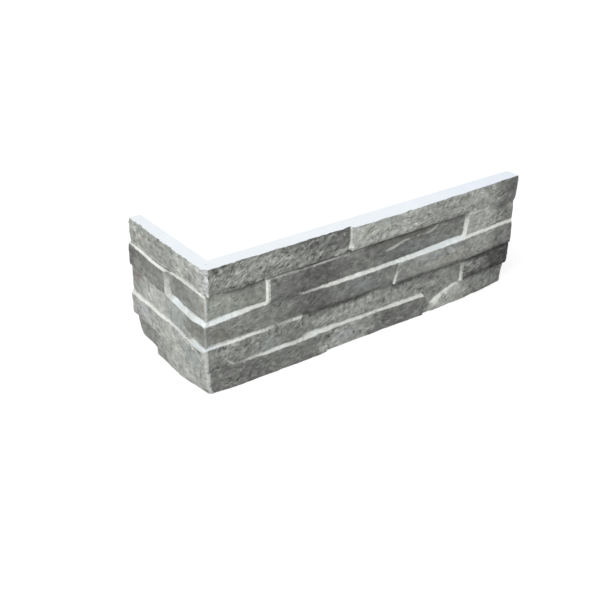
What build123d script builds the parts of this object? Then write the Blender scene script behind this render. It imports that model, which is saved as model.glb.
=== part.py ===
from build123d import *
from dataclasses import dataclass
import math
import os

# Stone cladding corner piece: an L of moulded stoneware that wraps the outside corner of a wall.
# Each leg has a flat back and a front of five courses of split stones. Lengths are millimetres.
# The origin is the bottom of the wall's own corner. The long leg runs along +X with its back on
# y = 0, the short leg along +Y with its back on x = 0, and the stones stand out towards -Y and -X.

# Driving sizes
long_leg = 434.0       # wall that the long leg covers, from the wall's corner to the leg's end
short_leg = 140.0      # wall that the short leg covers
course_height = 30.0   # mean height of one course of stones
edge_wear = 0.5        # how far a stone's worn rim lies behind its face
corner_land = 6.0      # width of the facet next to the arris on each leg
smallest_lip = 0.6     # least height of the sloping edge between two courses
shortest_stone = 18.0  # a stone shorter than this at a leg's end is left out

# The arris is worn round at its foot, further along the short leg than along the long one
toe_height = 14.0
short_toe_back = 6.5
short_toe_reach = 46.0
long_toe_back = 2.5
long_toe_reach = 30.0

# Fineness of the split faces: length of a cell on each leg, and rows of cells in a course
long_cell = 9.9
short_cell = 8.8
course_rows = 5


@dataclass
class Stone:
    """One stone of a course, measured along its leg and out from the wall."""
    start: float             # where it begins, from the wall's corner; 0 wraps round to the arris
    near: tuple              # thickness of its end nearest the corner, at its top and its bottom
    far: tuple               # thickness of its other end, at its top and its bottom
    belly: float = 0.0       # extra thickness half way along
    side: float = 1.5        # width of its sloping side towards the corner
    lean: float = 0.0        # how much further from the corner that side stands at its top
    rim: tuple = ((0, 1),)   # (place, drop) pairs: its face's top edge below the course's level
    relief: float = 0.5      # height of the split relief on its face


@dataclass
class Course:
    """One course: the arris where its two faces meet, and its stones from the corner outwards."""
    arris_x: float           # how far the arris stands out past the short leg's back
    arris_y: float           # how far the arris stands out past the long leg's back
    joint: tuple             # (reach, rise) pairs: foot of the stones above it, over its level
    long_stones: list
    short_stones: list


# The five courses from the top down. A joint's reach is the distance from the wall's corner, and
# is below zero on the short leg.
courses = [
    Course(
        arris_x=11.5, arris_y=19.2,
        joint=((0, 0),),
        long_stones=[
            Stone(0, near=(19.7, 15.4), far=(19.8, 15.8), relief=0.7),
            Stone(171, near=(24.9, 22.2), far=(19.2, 18.6), belly=1.2, side=0.4, relief=0.5),
        ],
        short_stones=[Stone(0, near=(17.0, 13.0), far=(15.0, 14.0), belly=0.3, relief=0.6)],
    ),
    Course(
        arris_x=13.4, arris_y=16.2,
        joint=((-140, 1.4), (-108, 1.3), (-98, 0.3), (-66, -0.8), (-56, 0.6), (-17, 1.0), (0, -1.0),
               (15, -2.8), (30, -3.5), (54, -3.5), (64, -2.0), (80, -1.4), (169, -1.4), (172, 2.0),
               (300, 2.0), (320, 1.3), (434, 1.3)),
        long_stones=[
            Stone(0, near=(14.4, 14.0), far=(13.4, 13.4), rim=((0, 2.4),), relief=0.2),
            Stone(62.5, near=(17.7, 17.9), far=(13.2, 13.0), belly=0.3, side=2.2,
                  rim=((62, 5.4), (174, 5.8), (195, 6.0), (215, 2.0)), relief=0.25),
            Stone(352.6, near=(17.6, 17.4), far=(16.2, 15.9), side=2.2, lean=3.0,
                  rim=((352, 3.4), (383, 4.3), (434, 4.6)), relief=0.5),
        ],
        short_stones=[
            Stone(0, near=(14.8, 13.4), far=(14.8, 12.6), rim=((-10, 2.8), (5, 2.1), (57, 2.2)),
                  relief=0.25),
            Stone(56, near=(17.2, 17.0), far=(17.2, 17.6), side=6.5,
                  rim=((56, 3.6), (83, 4.2), (98, 3.0), (114, 1.7), (140, 0.2)), relief=0.35),
        ],
    ),
    Course(
        arris_x=17.0, arris_y=18.6,
        joint=((-140, 4.6), (-130, 3.4), (-114, 1.7), (-98, 0.1), (-83, -1.0), (-62, -0.3),
               (-52, 1.2), (-44, 1.8), (-36, 0.6), (-30, -0.6), (-5, -1.8), (0, -1.0), (10, -0.3),
               (60, -0.3), (73, -1.9), (92, -1.1), (112, -2.6), (150, -2.1), (190, -2.5),
               (272, -2.0), (292, -1.3), (335, 0.1), (360, -0.7), (383, 0.6), (407, 1.1),
               (434, 1.3)),
        long_stones=[
            Stone(0, near=(18.0, 17.6), far=(18.4, 18.0),
                  rim=((0, 4.8), (17, 4.0), (37, 2.5), (54, 1.6), (75, 2.6), (92, 1.9), (117, 4.7),
                       (159, 6.2), (190, 6.2), (241, 5.4)), relief=0.35),
            Stone(241, near=(21.0, 20.6), far=(17.5, 18.1), side=1.0, lean=6.0,
                  rim=((241, 4.4), (292, 4.3), (312, 4.7), (340, 4.0), (383, 3.5), (407, 2.3),
                       (434, 2.1)), relief=0.35),
        ],
        short_stones=[
            Stone(0, near=(17.4, 16.8), far=(14.8, 15.1), belly=0.5,
                  rim=((-10, 4.0), (5, 7.4), (17, 6.2), (30, 4.6), (44, 3.4), (56, 3.6), (66, 1.3),
                       (83, 2.0), (98, 0.9), (114, -0.7), (130, -2.4), (140, -3.6)), relief=0.4),
        ],
    ),
    Course(
        arris_x=16.2, arris_y=18.8,
        joint=((-140, 1.8), (-98, 1.1), (-56, 0.5), (-44, -0.2), (-30, -1.6), (-23, -3.0),
               (-15, -3.2), (-10, 0.2), (-6, 1.6), (0, 1.4), (17, 0.3), (54, 0.1), (92, 0.5),
               (117, -1.2), (137, -1.8), (160, -2.7), (187, -2.4), (215, -1.0), (240, -0.8),
               (262, -1.9), (345, -2.1), (365, -2.0), (383, -1.2), (407, -0.2), (434, 0.4)),
        long_stones=[
            Stone(0, near=(19.4, 18.6), far=(19.6, 19.0),
                  rim=((0, 2.9), (17, 3.2), (37, 2.6), (72, 2.0), (92, 2.5)), relief=0.5),
            # One stone in two lengths, so that its foot steps down at the notch of the course below
            Stone(107, near=(15.2, 15.0), far=(14.9, 14.9), rim=((107, 1.8), (187, 1.0), (290, 1.4)),
                  relief=0.6),
            Stone(290.5, near=(14.9, 14.9), far=(14.8, 14.8), rim=((290, 1.4), (350, 1.6)),
                  relief=0.6),
            Stone(351.3, near=(18.8, 18.4), far=(15.8, 15.3), side=1.9,
                  rim=((350, 1.9), (383, 1.6), (407, 0.2), (434, 0.0)), relief=0.6),
        ],
        short_stones=[
            Stone(0, near=(18.8, 17.4), far=(18.2, 16.7),
                  rim=((-10, 6.0), (5, 6.5), (17, 5.6), (24, 4.4), (31, 2.6), (44, 2.7), (83, 3.3),
                       (98, 2.6), (140, 2.8)), relief=0.5),
        ],
    ),
    Course(
        arris_x=13.8, arris_y=17.6,
        joint=((-140, 2.4), (-97, 0.8), (-80, 0.0), (0, 0.7), (20, 1.0), (54, 1.4), (72, 2.6),
               (92, 1.7), (117, 3.3), (137, 2.1), (159, 1.4), (187, 0.1), (228, -0.3), (252, -0.1),
               (290.5, -0.6), (292, -17.5),
               (303, -17.5), (311, -12.5), (321, -8.2), (331, -5.0), (341, -1.8), (352, -1.0),
               (383, 1.0), (434, 0.7)),
        long_stones=[
            Stone(0, near=(18.8, 16.6), far=(20.6, 18.2), belly=0.8,
                  rim=((0, 0.2), (30, 0.6), (54, 1.6), (92, 1.9), (117, 0.7), (137, -0.1)),
                  relief=0.5),
            Stone(143, near=(20.2, 14.8), far=(18.8, 17.0),
                  rim=((143, -0.5), (165, -0.5), (187, 0.1), (207, 0.5), (228, 1.4), (252, 2.2),
                       (290, 2.8)),
                  relief=0.5),
            Stone(290.5, near=(14.4, 14.2), far=(14.4, 14.2), rim=((290, 18.6),), relief=0.3),
            Stone(303, near=(18.4, 15.4), far=(9.8, 7.4), belly=2.6, side=3.0,
                  rim=((303, 19.5), (311, 14.2), (321, 9.4), (331, 6.4), (341, 3.4), (352, 1.8),
                       (375, 0.6), (434, 0.4)), relief=0.6),
        ],
        short_stones=[
            Stone(0, near=(17.4, 17.5), far=(16.6, 15.9), belly=0.6, rim=((0, 0.6), (80, 0.8)),
                  relief=0.5),
            Stone(89, near=(12.6, 10.2), far=(12.4, 7.6), side=1.6, rim=((89, 0.2), (140, -1.4)),
                  relief=0.4),
        ],
    ),
]
height = course_height * len(courses)


def blend(first, second, share):
    return first + (second - first) * share


def read_along(pairs, place):
    """Value at a place along a list of (place, value) pairs, level beyond its two ends."""
    for (first, low), (second, high) in zip(pairs, pairs[1:]):
        if place < second:
            return blend(low, high, max(0.0, (place - first) / (second - first)))
    return pairs[-1][1]


def joint_level(number, reach):
    """Height of the joint on top of a course where the unrolled front is reach from the corner."""
    if number == len(courses):
        return 0.0
    return height - number * course_height + read_along(courses[number].joint, reach)


def scatter(row, column, salt):
    """A fixed uneven value from -1 to 1 for one corner of the split relief."""
    value = math.sin(row * 12.9898 + column * 78.233 + salt * 37.719) * 43758.5453
    return 2.0 * (value - math.floor(value)) - 1.0


def split_face(reach, level, salt):
    """Slow waves of a split stone face, from about -1 to 1."""
    sway = 1.4 * math.sin(level / 11.0 + salt)
    along = 0.5 * math.sin(reach / 7.6 + sway)
    across = 0.35 * math.sin(level / 4.4 + reach / 21.0 + 1.7 * salt)
    slant = 0.3 * math.sin((reach - 1.5 * level) / 5.8 + 2.3 * salt)
    return along + across + slant


def columns(stones, leg, cells, arris):
    """A course's columns along its leg: the place, stone, share of the stone and lean of each."""
    kept = [stone for stone in stones if stone.start < leg - shortest_stone]
    marks = [(0, -arris), (1, corner_land - arris)]
    owners = [(0, kept[0])]
    leans = {}
    last = 1
    for stone in kept[1:]:
        last = max(round(stone.start / leg * cells), last + 1)
        marks += [(last, stone.start), (last + 1, stone.start + stone.side)]
        leans[last] = leans[last + 1] = stone.lean
        last += 1
        owners.append((last, stone))
    marks.append((cells, leg))
    places = []
    for (first, low), (second, high) in zip(marks, marks[1:]):
        places += [low + (high - low) * step / (second - first) for step in range(second - first)]
    places.append(leg)
    ends = [stone.start for stone in kept[1:]] + [leg]
    result = []
    for index, place in enumerate(places):
        owner = [stone for mark, stone in owners if mark <= index][-1]
        end = ends[kept.index(owner)]
        share = (place - owner.start) / (end - owner.start)
        result.append((place, owner, min(1.0, max(0.0, share)), leans.get(index, 0.0)))
    return result


def thickness(stone, share, drop):
    """Thickness of a stone's face at a share of its length and a drop from 0 at its top to 1."""
    near = blend(stone.near[0], stone.near[1], drop)
    far = blend(stone.far[0], stone.far[1], drop)
    return blend(near, far, share) + 4.0 * stone.belly * share * (1.0 - share)


def toe(level, run, is_long):
    """How far the worn foot of the arris lies behind the face, run along the leg from it."""
    back, reach = (long_toe_back, long_toe_reach) if is_long else (short_toe_back, short_toe_reach)
    return back * max(0.0, 1.0 - level / toe_height) ** 2 * max(0.0, 1.0 - run / reach)


def leg_rows(number, course, is_long):
    """The points of one course on one leg, row by row from the top, each from the arris out."""
    stones = course.long_stones if is_long else course.short_stones
    leg, cell = (long_leg, long_cell) if is_long else (short_leg, short_cell)
    arris = course.arris_x if is_long else course.arris_y
    course_columns = columns(stones, leg, round(leg / cell), arris)
    salt = number + (0.0 if is_long else 9.0)
    rows = []
    for row in range(course_rows + 1):
        drop = row / course_rows
        points = []
        for index, (place, stone, share, lean) in enumerate(course_columns):
            at_arris = index == 0
            place += lean * (0.5 - drop)
            run = place + arris
            reach = max(0.0, place) if is_long else -max(0.0, place)
            top = height
            if number > 0:
                rim = height - number * course_height - read_along(stone.rim, place)
                top = min(rim, joint_level(number, reach) - smallest_lip)
            level = blend(top, joint_level(number + 1, reach), drop)
            if at_arris:
                out_x = course.arris_x - toe(level, run, is_long=False)
                out_y = course.arris_y - toe(level, run, is_long=True)
                points.append((-out_x, -out_y, level))
                continue
            rough = split_face(reach, level, salt) + 0.5 * scatter(row + 7 * number, index, salt)
            worn = edge_wear if row in (0, course_rows) else 0.0
            out = thickness(stone, share, drop) + stone.relief * rough - worn
            out -= toe(level, run, is_long)
            points.append((place, -out, level) if is_long else (-out, place, level))
        rows.append(points)
    return rows


def facet(*points):
    """A flat face with the given corners."""
    return Face(Wire.make_polygon(points))


def strip(upper, lower):
    """The facets between two rows of points, each cell split along its shorter diagonal."""
    facets = []
    for a, b, c, d in zip(upper, upper[1:], lower[1:], lower):
        if math.dist(a, c) < math.dist(b, d):
            facets += [facet(a, b, c), facet(a, c, d)]
        else:
            facets += [facet(a, b, d), facet(b, c, d)]
    return facets


# The front, unrolled: each row runs from the short leg's end to the arris and on along the long
# leg to its end
front_rows = []
for number, course in enumerate(courses):
    short_rows = leg_rows(number, course, is_long=False)
    long_rows = leg_rows(number, course, is_long=True)
    for short_points, long_points in zip(short_rows, long_rows):
        front_rows.append(short_points[:0:-1] + long_points)

faces = []
for upper, lower in zip(front_rows, front_rows[1:]):
    faces += strip(upper, lower)

# The flat sides: top and bottom, the two ends, and the two backs against the wall
for row, level in ((front_rows[0], height), (front_rows[-1], 0.0)):
    faces.append(facet(*row, (long_leg, 0.0, level), (0.0, 0.0, level), (0.0, short_leg, level)))
for column, x, y in ((-1, long_leg, 0.0), (0, 0.0, short_leg)):
    faces.append(facet(*[row[column] for row in front_rows], (x, y, 0.0), (x, y, height)))
    faces.append(facet((0.0, 0.0, 0.0), (x, y, 0.0), (x, y, height), (0.0, 0.0, height)))

corner_piece = Solid(Shell(faces))

os.makedirs("parts", exist_ok=True)
export_step(corner_piece, "parts/corner_piece.step")
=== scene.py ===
from dataclasses import dataclass
import heapq
import math

import bmesh
import bpy
from mathutils import Euler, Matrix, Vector, noise


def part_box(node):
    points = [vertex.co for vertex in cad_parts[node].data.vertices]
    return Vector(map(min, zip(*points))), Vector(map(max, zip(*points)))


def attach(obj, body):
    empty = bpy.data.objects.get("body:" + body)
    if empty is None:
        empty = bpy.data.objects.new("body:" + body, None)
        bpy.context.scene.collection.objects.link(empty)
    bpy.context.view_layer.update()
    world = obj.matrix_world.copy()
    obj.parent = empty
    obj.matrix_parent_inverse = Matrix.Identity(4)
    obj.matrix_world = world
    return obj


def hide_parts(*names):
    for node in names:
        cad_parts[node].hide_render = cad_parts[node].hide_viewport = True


# Stone cladding corner piece: the finish of its split stones and of its bare stoneware.
# Places on the front are given in millimetres: along a leg from the wall's corner, and in level
# above the foot. MM turns them into the scene's metres. Greys run from 0 to 255, as a screen
# shows them.
MM = 0.001

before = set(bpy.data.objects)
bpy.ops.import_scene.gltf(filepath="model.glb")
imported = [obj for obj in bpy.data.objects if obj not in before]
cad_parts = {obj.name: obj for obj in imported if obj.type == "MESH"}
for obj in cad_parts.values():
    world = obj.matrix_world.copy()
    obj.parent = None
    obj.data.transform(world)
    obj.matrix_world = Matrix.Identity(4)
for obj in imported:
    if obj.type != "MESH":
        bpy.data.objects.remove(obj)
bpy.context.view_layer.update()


# Camera
CAMERA_PLACE = (-0.4535, -0.7664, 0.5907)
CAMERA_TURN = (61.309, -0.625, -36.329)   # degrees about X, Y and Z
CAMERA_LENS = 59.02


def set_up_camera():
    data = bpy.data.cameras.new("camera")
    data.lens = CAMERA_LENS
    data.clip_start = 0.01
    data.clip_end = 50.0
    camera = bpy.data.objects.new("camera", data)
    camera.location = CAMERA_PLACE
    camera.rotation_euler = Euler([math.radians(turn) for turn in CAMERA_TURN])
    bpy.context.scene.collection.objects.link(camera)
    bpy.context.scene.camera = camera


# Layout of the front, as the CAD piece has it
HEIGHT = 150.0
COURSE_HEIGHT = 30.0
COURSES = 5
SMALLEST_LIP = 0.6      # least height of the ledge between two courses
FACET_TOLERANCE = 0.05  # how closely a corner of a CAD facet lies on its joint's line

# How far each course's arris stands out past the short leg's back and the long leg's. At its
# foot the arris is worn back.
arrises = ((11.5, 19.2), (13.4, 16.2), (17.0, 18.6), (16.2, 18.8), (13.8, 17.6))
TOE_HEIGHT = 14.0
SHORT_TOE_BACK = 6.5
LONG_TOE_BACK = 2.5

# Foot of the stones above each joint, over the joint's mean level, as (reach, rise) pairs. The
# reach is the distance from the wall's corner, and is below zero on the short leg.
joints = {
    1: ((-140, 1.4), (-108, 1.3), (-98, 0.3), (-66, -0.8), (-56, 0.6), (-17, 1.0), (0, -1.0),
        (15, -2.8), (30, -3.5), (54, -3.5), (64, -2.0), (80, -1.4), (169, -1.4), (172, 2.0),
        (300, 2.0), (320, 1.3), (434, 1.3)),
    2: ((-140, 4.6), (-130, 3.4), (-114, 1.7), (-98, 0.1), (-83, -1.0), (-62, -0.3),
        (-52, 1.2), (-44, 1.8), (-36, 0.6), (-30, -0.6), (-5, -1.8), (0, -1.0), (10, -0.3),
        (60, -0.3), (73, -1.9), (92, -1.1), (112, -2.6), (150, -2.1), (190, -2.5),
        (272, -2.0), (292, -1.3), (335, 0.1), (360, -0.7), (383, 0.6), (407, 1.1),
        (434, 1.3)),
    3: ((-140, 1.8), (-98, 1.1), (-56, 0.5), (-44, -0.2), (-30, -1.6), (-23, -3.0),
        (-15, -3.2), (-10, 0.2), (-6, 1.6), (0, 1.4), (17, 0.3), (54, 0.1), (92, 0.5),
        (117, -1.2), (137, -1.8), (160, -2.7), (187, -2.4), (215, -1.0), (240, -0.8),
        (262, -1.9), (345, -2.1), (365, -2.0), (383, -1.2), (407, -0.2), (434, 0.4)),
    4: ((-140, 2.4), (-97, 0.8), (-80, 0.0), (0, 0.7), (20, 1.0), (54, 1.4), (72, 2.6),
        (92, 1.7), (117, 3.3), (137, 2.1), (159, 1.4), (187, 0.1), (228, -0.3), (252, -0.1),
        (290.5, -0.6), (292, -17.5),
        (303, -17.5), (311, -12.5), (321, -8.2), (331, -5.0), (341, -1.8), (352, -1.0),
        (383, 1.0), (434, 0.7)),
}


@dataclass
class Stone:
    """One stone of the front: its place, how its face is split, and how it is printed."""
    name: str
    leg: str                     # "long" or "short"
    course: int                  # 0 is the top course
    start: float                 # where it begins, from the wall's corner
    tones: tuple                 # (along, grey) pairs
    rim: tuple = ((0, 1),)       # (along, drop) pairs: its top edge below the course's level
    ledge: tuple = ((0, 1),)     # (along, bareness) pairs: 1 is bare, below 0 is in shadow
    ledge_from: float = 0.1      # share of the ledge's height that is printed, from its top down
    ledge_shade: tuple = ((0, 0),)   # (along, shade) pairs: how dark the painted shade in the joint makes that printed share
    side: float = 0.0            # width of its side towards the corner
    lean: float = 0.0            # how much further from the corner that side stands at its top
    side_bare: tuple = (1, 1)    # how bare that side is at its top and at its foot
    side_share: float = 1.0      # how much of the side's depth is bare
    white: tuple = ((0, 214),)   # (along, grey) pairs: how pale its bare body is
    cool: tuple = ((0, 0),)      # (along, share) pairs: how bluish that is
    rough: float = 0.5           # height of its split relief
    tilt: float = 15.0           # slant of its split layers, in degrees
    plate: tuple = (22.0, 7.0)   # length and height of those layers
    streaks: float = 0.1         # amount of pale crystal streaks
    contrast: float = 0.8        # strength of its grain
    chips: float = 1.0           # how deeply its upper rim is chipped, in the top course
    tint: tuple = (1.0, 1.0, 1.0)


GREENISH = (0.98, 1.01, 0.97)
BROWNISH = (1.025, 1.0, 0.965)
BLUISH = (0.97, 1.0, 1.04)
PINKISH = (1.07, 0.99, 1.0)
LAVENDER = (1.0, 0.98, 1.06)

stones = [
    Stone("A", "long", 0, 0, ((0, 149), (60, 149), (105, 140), (130, 114), (172, 108)),
          rough=1.1, tilt=28, plate=(15, 5), streaks=0.45, contrast=1.3, chips=0.7),
    Stone("B", "long", 0, 171, ((173, 168), (250, 166), (300, 156), (392, 149), (410, 109)),
          side=0.4, side_bare=(0.85, 0.45), side_share=0.6, rough=0.6, plate=(14, 6),
          streaks=0.25, contrast=0.85),
    Stone("C", "long", 1, 0, ((-12, 162), (-4, 152), (14, 146), (32, 136), (45, 135), (60, 143)),
          rim=((0, 2.4),),
          ledge=((-10, -0.3), (10, -0.6), (30, -0.9), (60, -0.9)),
          rough=0.2, tint=GREENISH, contrast=0.6),
    Stone("D", "long", 1, 62.5, ((64, 123), (90, 115), (110, 99), (142, 97), (160, 110), (178, 119),
                                 (214, 118), (232, 108), (285, 109), (302, 120), (345, 131)),
          rim=((62, 5.4), (174, 5.8), (195, 6.0), (215, 2.0)),
          ledge=((62, 0.3), (70, 0.35), (75, 0.5), (92, 0.4), (117, 0.3), (137, 0.55), (187, 0.3),
                 (194, 0.0), (200, -0.6)),
          ledge_from=0.5, ledge_shade=((62, 0.3), (100, 0.4), (112, 0.8), (145, 0.7), (165, 0.3)),
          side=2.2, side_share=0.68, white=((62, 220),), rough=0.3, tilt=8, plate=(40, 8),
          contrast=0.7),
    Stone("E", "long", 1, 352.6, ((354, 162), (394, 157), (406, 122), (434, 120)),
          rim=((352, 3.4), (383, 4.3), (434, 4.6)),
          ledge=((352, 0.85), (368, 0.8), (383, 0.5), (397, 0.2), (402, -0.3)), ledge_from=0.3,
          side=2.2, lean=3.0, side_bare=(0.65, 0.95), rough=0.6, plate=(12, 6), streaks=0.2,
          contrast=0.8),
    Stone("F", "long", 2, 0, ((-15, 132), (60, 130), (92, 113), (110, 102), (136, 97), (150, 117),
                              (235, 117)),
          rim=((0, 4.8), (17, 4.0), (37, 2.5), (54, 1.6), (75, 2.6), (92, 1.9), (117, 4.7),
               (159, 6.2), (190, 6.2), (241, 5.4)),
          ledge=((0, 1), (60, 1), (66, -0.3), (96, -0.2), (103, 0.45), (117, 0.6), (137, 0.8),
                 (159, 0.95)),
          white=((-6, 231), (6, 226), (18, 227), (36, 220), (60, 221), (110, 217), (140, 215),
                 (155, 222), (235, 218)),
          cool=((-6, 0.7), (6, 1), (18, 0.6), (32, 0.2), (170, 0), (186, 0.4), (205, 0),
                (235, 0.6)), rough=0.35, plate=(30, 8), contrast=0.75),
    Stone("G", "long", 2, 241, ((243, 133), (300, 143), (396, 142), (406, 119), (434, 117)),
          rim=((241, 4.4), (292, 4.3), (312, 4.7), (340, 4.0), (383, 3.5), (407, 2.3),
               (434, 2.1)), ledge_from=0.0,
          side=1.0, lean=6.0, side_bare=(0.1, 0.6),
          white=((243, 223), (256, 231), (285, 228), (345, 228), (362, 213), (390, 219), (420, 211)),
          cool=((243, 0.6), (290, 0.6), (305, 1), (335, 1), (365, 0)), rough=0.4, plate=(26, 8),
          contrast=0.7),
    Stone("H", "long", 3, 0, ((-15, 128), (40, 131), (82, 130), (97, 114), (106, 126)),
          rim=((0, 2.9), (17, 3.2), (37, 2.6), (72, 2.0), (92, 2.5)),
          ledge=((0, 1), (45, 0.95), (56, 0.7), (64, 0.6), (72, 0.4), (79, 0.2), (88, 0.5), (98, 0.65)),
          ledge_from=0.25, white=((-4, 228), (6, 220), (45, 221)), cool=((-4, 0.8), (6, 0.1)),
          rough=0.7, tilt=34, plate=(15, 6), streaks=0.35, contrast=1.0),
    Stone("I", "long", 3, 107, ((110, 136), (180, 143), (250, 142), (300, 132), (349, 132)),
          rim=((107, 1.8), (187, 1.0), (290, 1.4), (350, 1.6)),
          ledge=((107, -0.4), (128, -0.5), (138, -0.9), (202, -1.1), (210, -0.2), (238, -0.2),
                 (246, -1.25), (300, -1.3), (350, -1.2)),
          rough=0.7, tilt=30, plate=(17, 7), streaks=0.3, contrast=1.0),
    Stone("J", "long", 3, 351.3, ((353, 109), (372, 101), (394, 91), (406, 67), (434, 63)),
          rim=((350, 1.9), (383, 1.6), (407, 0.2), (434, 0.0)), ledge=((350, -1.0),),
          side=1.9, side_bare=(0.1, 0.95), side_share=0.7, rough=0.8, tilt=20, plate=(14, 6),
          streaks=0.3, contrast=1.3),
    Stone("K1", "long", 4, 0, ((-12, 120), (60, 119), (122, 119), (143, 136)),
          rim=((0, 0.2), (30, 0.6), (54, 1.6), (92, 1.9), (117, 0.7), (137, -0.1)),
          ledge=((0, -0.4), (12, -0.2), (20, 0.3), (40, 0.55), (54, 0.85), (72, 1.0), (92, 0.8),
                 (137, 0.95)),
          white=((40, 212), (66, 218), (78, 226), (92, 210), (110, 212), (126, 222), (140, 212)),
          cool=((56, 0), (66, 0.4), (80, 0.4), (92, 0), (112, 0), (126, 0.6), (140, 0)),
          rough=0.7, plate=(16, 6), streaks=0.2, contrast=0.95),
    Stone("K2", "long", 4, 143, ((143, 138), (151, 156), (200, 153), (213, 115), (290, 113)),
          rim=((143, -0.5), (165, -0.5), (187, 0.1), (207, 0.5), (228, 1.4), (252, 2.2),
               (290, 2.8)),
          ledge=((143, 1.0), (187, 0.9), (207, 0.8), (230, 0.85), (290, 0.9)),
          rough=0.7, plate=(16, 6), streaks=0.25, contrast=1.0),
    Stone("gap", "long", 4, 290.5, ((292, 132), (303, 148)), rim=((290, 18.6),),
          ledge=((290, 0.2),), rough=0.3, streaks=0.2, contrast=0.7),
    Stone("L", "long", 4, 303, ((306, 165), (350, 157), (364, 131), (392, 128), (434, 116)),
          rim=((303, 19.5), (311, 14.2), (321, 9.4), (331, 6.4), (341, 3.4), (352, 1.8),
               (375, 0.6), (434, 0.4)),
          ledge=((303, 0.8), (315, 0.8), (325, 0.7), (345, 0.65), (353, -0.3), (370, -0.8)),
          white=((303, 206),),
          side=3.0, side_bare=(0.3, 0.2), rough=0.8, tilt=38, plate=(14, 6), streaks=0.4, contrast=0.85),
    Stone("M", "short", 0, 0, ((-15, 192), (-4, 186), (5, 176), (20, 176), (30, 190), (38, 180),
                               (47, 162), (70, 164), (140, 165)),
          rough=0.8, tilt=20, plate=(13, 6), streaks=0.3, contrast=0.95, chips=1.8),
    Stone("O", "short", 1, 0, ((-16, 170), (-6, 160), (6, 152), (20, 142), (38, 134), (48, 146)),
          rim=((-10, 2.8), (5, 2.1), (57, 2.2)), ledge_from=0.2,
          white=((-4, 236), (6, 226), (14, 218), (36, 220), (44, 228), (56, 226)),
          cool=((-4, 0.5), (8, 0)), rough=0.25, contrast=0.65),
    Stone("N", "short", 1, 56, ((64, 138), (122, 133), (136, 118)),
          rim=((56, 3.6), (83, 4.2), (98, 3.0), (114, 1.7), (140, 0.2)),
          ledge_from=0.35, white=((58, 218), (68, 232), (76, 241), (96, 241), (102, 229),
                                  (110, 238), (124, 240), (134, 229)),
          side=6.5, side_bare=(0.35, 0.85), rough=0.4, contrast=0.85),
    Stone("P", "short", 2, 0, ((-16, 131), (10, 133), (24, 168), (60, 171), (72, 187), (106, 185),
                               (124, 156), (138, 144)),
          rim=((-10, 4.0), (5, 7.4), (17, 6.2), (30, 4.6), (44, 3.4), (56, 3.6), (66, 1.3),
               (83, 2.0), (98, 0.9), (114, -0.7), (130, -2.4), (140, -3.6)),
          ledge=((0, 1), (58, 1), (66, 0.25), (140, 0.2)),
          white=((-8, 248), (0, 242), (8, 230), (14, 220), (20, 232), (36, 228), (46, 243), (54, 214)),
          cool=((-8, 0.9), (6, 0.6), (22, 0.6), (40, 1.2), (52, 0.9), (62, 0)), rough=0.4, streaks=0.05,
          contrast=0.65),
    Stone("Q", "short", 3, 0, ((-16, 188), (-4, 177), (80, 176), (120, 172), (136, 164)),
          rim=((-10, 6.0), (5, 6.5), (17, 5.6), (24, 4.4), (31, 2.6), (44, 2.7), (83, 3.3),
               (98, 2.6), (140, 2.8)), ledge_from=0.25,
          white=((-4, 232), (8, 226), (14, 216), (32, 214), (40, 222), (54, 234), (62, 240),
                 (84, 238), (96, 232), (118, 238), (134, 228)),
          cool=((0, 1), (10, 0.5), (34, 0.4), (48, 0.3), (58, 0)), rough=0.6, plate=(18, 8),
          streaks=0.25, contrast=0.85),
    Stone("Q_foot", "short", 4, 0, ((-16, 173), (60, 177), (69, 160), (88, 156)),
          rim=((0, 0.6), (80, 0.8)),
          ledge=((0, 0), (30, 0), (44, 0.35), (60, 0.3), (70, 0)), rough=0.6, streaks=0.25,
          contrast=0.85),
    Stone("R", "short", 4, 89, ((91, 142), (140, 144)), rim=((89, 0.2), (140, -1.4)),
          ledge=((89, -0.3),), side=1.6, side_bare=(0, 0), rough=0.4, contrast=0.8),
]


@dataclass
class Patch:
    """A patch of the print with uneven edges: darker, lighter, tinted or streaked."""
    leg: str
    along: float
    level: float
    length: float
    height: float
    grey: float = 0.0            # added to the stone's grey
    streaks: float = 0.0         # added to the stone's streaks
    tint: tuple = (1.0, 1.0, 1.0)
    slant: float = 0.0           # degrees that its length rises along the leg


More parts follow.
